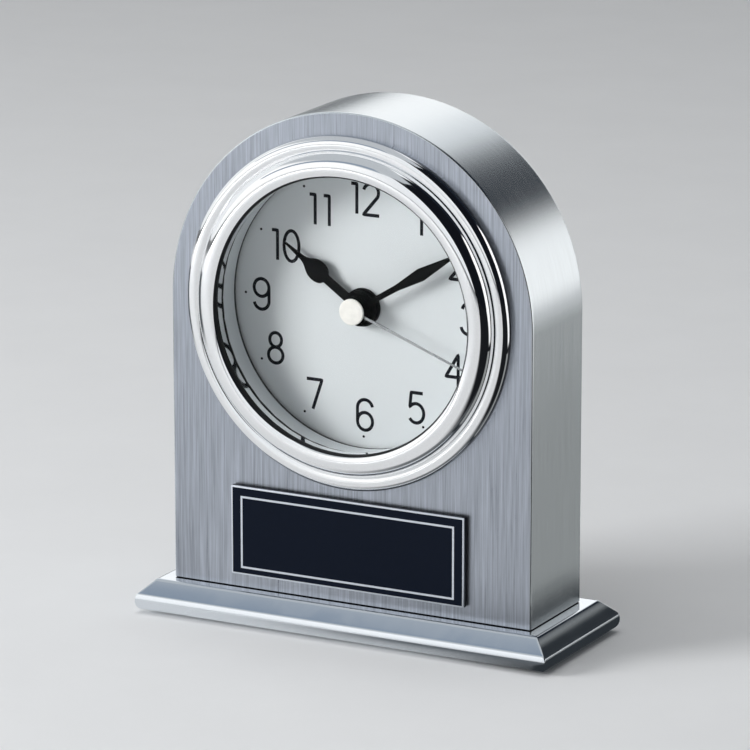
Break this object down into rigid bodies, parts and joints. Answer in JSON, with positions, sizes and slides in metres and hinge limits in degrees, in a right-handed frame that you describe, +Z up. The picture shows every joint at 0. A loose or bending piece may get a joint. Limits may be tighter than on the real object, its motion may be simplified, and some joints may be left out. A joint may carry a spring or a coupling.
{
  "type": "desk clock",
  "caption": "Arched brushed-metal desk clock with a round polished bezel over a pale numbered dial, geared hands, a bare dark name plate and a bevelled base.",
  "frame": {"origin": "under the middle of the felt pad, on the surface the clock stands on", "axes": "+Z up, -Y out of the dial, +X to the right seen from the front"},
  "size_m": [0.092, 0.0344, 0.1065],
  "materials": {
    "case_metal": "vertically brushed, clear",
    "base_metal": "polished",
    "bezel_metal": "polished",
    "felt": "pressed felt",
    "plate_blue": "satin with a pale border line",
    "tape": "thin double-sided tape",
    "lens_glass": "clear flat glass",
    "black_rubber": "matt",
    "dial_silver": "satin silver with black print",
    "ring_silver": "satin silver",
    "black_plastic": "fine grain",
    "pale_plastic": "moulded",
    "hand_black": "satin black",
    "second_silver": "satin",
    "cap_white": "gloss",
    "steel": "plated",
    "brass": "stamped",
    "copper": "enamelled copper wire",
    "board_green": "circuit board",
    "magnet": "ground"
  },
  "bodies": {
    "clock_body": {"case_body": "case_metal", "base_plate": "base_metal", "base_pad": "felt", "base_screw_left": "steel", "base_screw_right": "steel", "rear_cover": "black_plastic", "rear_cover_screw_1": "steel", "rear_cover_screw_2": "steel", "rear_cover_screw_3": "steel", "rear_cover_screw_4": "steel", "name_plate": "plate_blue", "name_plate_tape": "tape", "bezel": "bezel_metal", "lens": "lens_glass", "lens_gasket": "black_rubber", "dial_ring": "ring_silver", "dial": "dial_silver", "insert_cup": "black_plastic", "grip_ring": "black_rubber", "movement_front_plate": "pale_plastic", "movement_back_plate": "pale_plastic", "dial_nut": "hand_black", "movement_screw_1": "steel", "movement_screw_2": "steel", "movement_screw_3": "steel", "circuit_board": "board_green", "clock_chip": "black_plastic", "quartz_crystal": "steel", "coil_core": "steel", "coil_winding": "copper", "stator": "steel", "button_cell": "steel", "contact_plus": "brass", "contact_minus": "brass"},
    "minute_works": {"centre_wheel": "brass", "minute_hand": "hand_black"},
    "hour_works": {"hour_wheel": "pale_plastic", "hour_hand": "hand_black"},
    "second_works": {"second_wheel": "brass", "second_hand": "second_silver", "second_hand_cap": "cap_white"},
    "third_works": {"third_wheel": "pale_plastic"},
    "intermediate_works": {"intermediate_wheel": "pale_plastic"},
    "rotor_works": {"rotor": "magnet"},
    "motion_works": {"minute_wheel": "pale_plastic"},
    "knob_works": {"set_knob": "black_plastic"},
    "door_works": {"battery_door": "black_plastic"}
  },
  "joints": [
    {"name": "minute_spin", "type": "hinge", "parent": "clock_body", "child": "minute_works", "pos_m": [0, 0, 0.0665], "axis": [0, 1, 0], "continuous": true},
    {"name": "hour_spin", "type": "hinge", "parent": "clock_body", "child": "hour_works", "pos_m": [0, 0, 0.0665], "axis": [0, 1, 0], "continuous": true},
    {"name": "second_spin", "type": "hinge", "parent": "clock_body", "child": "second_works", "pos_m": [0, 0, 0.0665], "axis": [0, 1, 0], "continuous": true},
    {"name": "third_spin", "type": "hinge", "parent": "clock_body", "child": "third_works", "pos_m": [-0.0115, 0, 0.07069], "axis": [0, 1, 0], "continuous": true},
    {"name": "intermediate_spin", "type": "hinge", "parent": "clock_body", "child": "intermediate_works", "pos_m": [0.00695, 0, 0.07643], "axis": [0, 1, 0], "continuous": true},
    {"name": "rotor_spin", "type": "hinge", "parent": "clock_body", "child": "rotor_works", "pos_m": [0.01191, 0, 0.06935], "axis": [0, 1, 0], "continuous": true},
    {"name": "motion_spin", "type": "hinge", "parent": "clock_body", "child": "motion_works", "pos_m": [-0.00779, 0, 0.062], "axis": [0, 1, 0], "continuous": true},
    {"name": "knob_spin", "type": "hinge", "parent": "clock_body", "child": "knob_works", "pos_m": [-0.01416, 0, 0.05564], "axis": [0, 1, 0], "continuous": true},
    {"name": "door_slide", "type": "slide", "parent": "clock_body", "child": "door_works", "axis": [0, 1, 0], "range_m": [0, 0.012]}
  ],
  "couplings": [
    {"joint": "hour_spin", "follows": "minute_spin", "ratio": 0.083333},
    {"joint": "second_spin", "follows": "minute_spin", "ratio": 60},
    {"joint": "third_spin", "follows": "minute_spin", "ratio": -8},
    {"joint": "intermediate_spin", "follows": "minute_spin", "ratio": -360},
    {"joint": "rotor_spin", "follows": "minute_spin", "ratio": 1800},
    {"joint": "motion_spin", "follows": "minute_spin", "ratio": -0.33333},
    {"joint": "knob_spin", "follows": "minute_spin", "ratio": 1}
  ]
}
